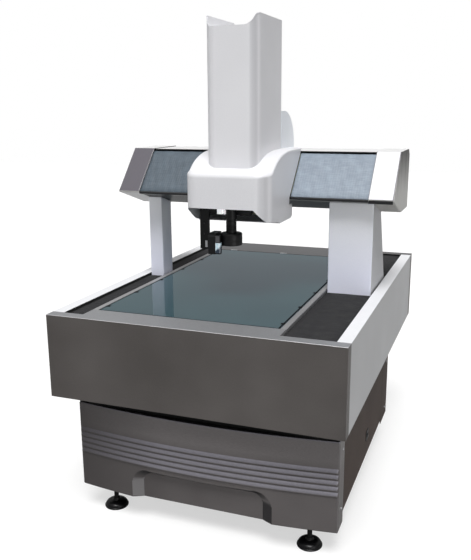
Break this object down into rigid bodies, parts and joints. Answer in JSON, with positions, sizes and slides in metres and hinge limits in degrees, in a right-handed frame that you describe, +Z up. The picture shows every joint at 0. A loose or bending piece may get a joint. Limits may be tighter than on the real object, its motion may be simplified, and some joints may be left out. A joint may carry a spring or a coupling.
{
  "type": "vision measuring machine",
  "caption": "Floor-standing bridge-type vision measuring machine with a glass stage, a beam on two unequal columns, a tall optics head and levelling feet.",
  "frame": {"origin": "on the floor, under the middle of the housing", "axes": "+Z up, +Y from the housing's front face to its rear, +X to the right seen from the front"},
  "size_m": [1.25, 1.66, 2.005],
  "materials": {
    "housing_grey": "satin metallic paint",
    "panel_light": "satin paint",
    "cabinet_grey": "satin metallic paint",
    "frame_black": "matte paint",
    "cover_white": "satin paint",
    "cap_grey": "satin metallic paint",
    "granite": "ground",
    "strip_grey": "satin anodised",
    "aluminium": "milled",
    "rail_steel": "ground",
    "foot_steel": "plated",
    "drive_black": "matte paint",
    "box_grey": "matte",
    "mount_rubber": "matte",
    "black_plastic": "matte",
    "stage_glass": "clear",
    "light_white": "diffuse",
    "way_bellows": "coated cloth, pleated",
    "beam_bellows": "coated cloth, pleated",
    "optics_black": "black anodised"
  },
  "bodies": {
    "base": {"frame": "frame_black", "control_box": "box_grey", "isolation_mounts": "mount_rubber", "granite_bed": "granite", "way_rails": "rail_steel", "way_drive": "drive_black", "cabinet_front_cover": "cabinet_grey", "cabinet_left_panel": "cabinet_grey", "cabinet_right_panel": "cabinet_grey", "cabinet_rear_cover": "cabinet_grey", "cabinet_fasteners": "foot_steel", "power_inlet": "black_plastic", "housing_front_panel": "housing_grey", "housing_rear_panel": "housing_grey", "housing_left_panel": "panel_light", "housing_right_panel": "panel_light", "stage_frame": "strip_grey", "stage_strips": "strip_grey", "stage_glass": "stage_glass", "glass_clamps": "strip_grey", "backlight": "light_white", "bellows_left_front": "way_bellows", "bellows_left_rear": "way_bellows", "bellows_right_front": "way_bellows", "bellows_right_rear": "way_bellows"},
    "bridge": {"left_column": "cover_white", "right_column": "cover_white", "bridge_saddles": "aluminium", "way_blocks": "rail_steel", "beam": "granite", "beam_cover": "cap_grey", "beam_lip": "frame_black", "left_end_cap": "cap_grey", "right_end_cap": "cover_white", "beam_rails": "rail_steel", "beam_drive": "drive_black", "bellows_beam_left": "beam_bellows", "bellows_beam_right": "beam_bellows"},
    "carriage": {"x_carriage": "aluminium", "x_blocks": "rail_steel", "head_cover": "cover_white", "tower_cover": "cover_white", "rear_cover": "cover_white", "tower_drive": "drive_black"},
    "ram": {"z_slide": "aluminium", "z_blocks": "rail_steel", "lens_barrel": "optics_black", "camera": "optics_black", "ring_light": "optics_black", "probe_bracket": "optics_black", "laser_probe": "optics_black", "probe_window": "stage_glass", "cable_sockets": "light_white"},
    "way_screw": {"way_screw": "rail_steel"},
    "beam_screw": {"beam_screw": "rail_steel"},
    "tower_screw": {"tower_screw": "rail_steel"},
    "front_left_foot": {"front_left_foot": "foot_steel"},
    "front_right_foot": {"front_right_foot": "foot_steel"},
    "rear_left_foot": {"rear_left_foot": "foot_steel"},
    "rear_right_foot": {"rear_right_foot": "foot_steel"}
  },
  "joints": [
    {"name": "bridge_y", "type": "slide", "parent": "base", "child": "bridge", "axis": [0, 1, 0], "range_m": [-0.3, 0.35], "deforming": ["bellows_left_front", "bellows_left_rear", "bellows_right_front", "bellows_right_rear"]},
    {"name": "carriage_x", "type": "slide", "parent": "bridge", "child": "carriage", "axis": [1, 0, 0], "range_m": [-0.2, 0.2], "deforming": ["bellows_beam_left", "bellows_beam_right"]},
    {"name": "ram_z", "type": "slide", "parent": "carriage", "child": "ram", "axis": [0, 0, 1], "range_m": [-0.14, 0.06]},
    {"name": "way_screw_turn", "type": "hinge", "parent": "base", "child": "way_screw", "pos_m": [0.381, 0, 0.7845], "axis": [0, 1, 0], "range_deg": [-5450, 6350]},
    {"name": "beam_screw_turn", "type": "hinge", "parent": "bridge", "child": "beam_screw", "pos_m": [0, -0.04701, 1.36145], "axis": [1, 0, 0], "range_deg": [-3650, 3650]},
    {"name": "tower_screw_turn", "type": "hinge", "parent": "carriage", "child": "tower_screw", "pos_m": [0.01, -0.308, 1.54], "axis": [0, 0, 1], "range_deg": [-5100, 2200]},
    {"name": "front_left_foot_turn", "type": "hinge", "parent": "base", "child": "front_left_foot", "pos_m": [-0.426, -0.647, 0], "axis": [0, 0, 1], "continuous": true},
    {"name": "front_right_foot_turn", "type": "hinge", "parent": "base", "child": "front_right_foot", "pos_m": [0.426, -0.647, 0], "axis": [0, 0, 1], "continuous": true},
    {"name": "rear_left_foot_turn", "type": "hinge", "parent": "base", "child": "rear_left_foot", "pos_m": [-0.426, 0.352, 0], "axis": [0, 0, 1], "continuous": true},
    {"name": "rear_right_foot_turn", "type": "hinge", "parent": "base", "child": "rear_right_foot", "pos_m": [0.426, 0.352, 0], "axis": [0, 0, 1], "continuous": true}
  ],
  "couplings": [
    {"joint": "way_screw_turn", "follows": "bridge_y", "rad_per_m": 314.16},
    {"joint": "beam_screw_turn", "follows": "carriage_x", "rad_per_m": 314.16},
    {"joint": "tower_screw_turn", "follows": "ram_z", "rad_per_m": 628.32}
  ]
}
